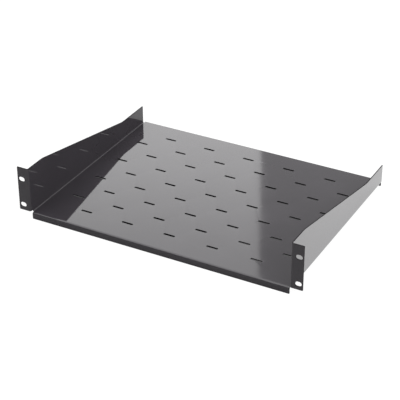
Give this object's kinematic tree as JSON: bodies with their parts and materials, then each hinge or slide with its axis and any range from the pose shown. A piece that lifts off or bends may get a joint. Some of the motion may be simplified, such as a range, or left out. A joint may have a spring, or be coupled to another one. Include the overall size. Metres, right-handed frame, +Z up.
{
  "type": "rack shelf",
  "caption": "Vented cantilever shelf for a 19-inch rack: a folded sheet-metal tray with tapered side walls, down-turned lips, staggered vent slots and ears with elongated bolt holes.",
  "frame": {"origin": "middle of the width and depth, on the surface that the lower edges of the lips stand on", "axes": "+X across the rack to the right as seen from the front, +Y from the ears to the rear, +Z up"},
  "size_m": [0.48, 0.35, 0.0875],
  "materials": {
    "painted_sheet": "smooth gloss black coat"
  },
  "bodies": {
    "root": {"shelf_tray": "painted_sheet"}
  },
  "joints": []
}
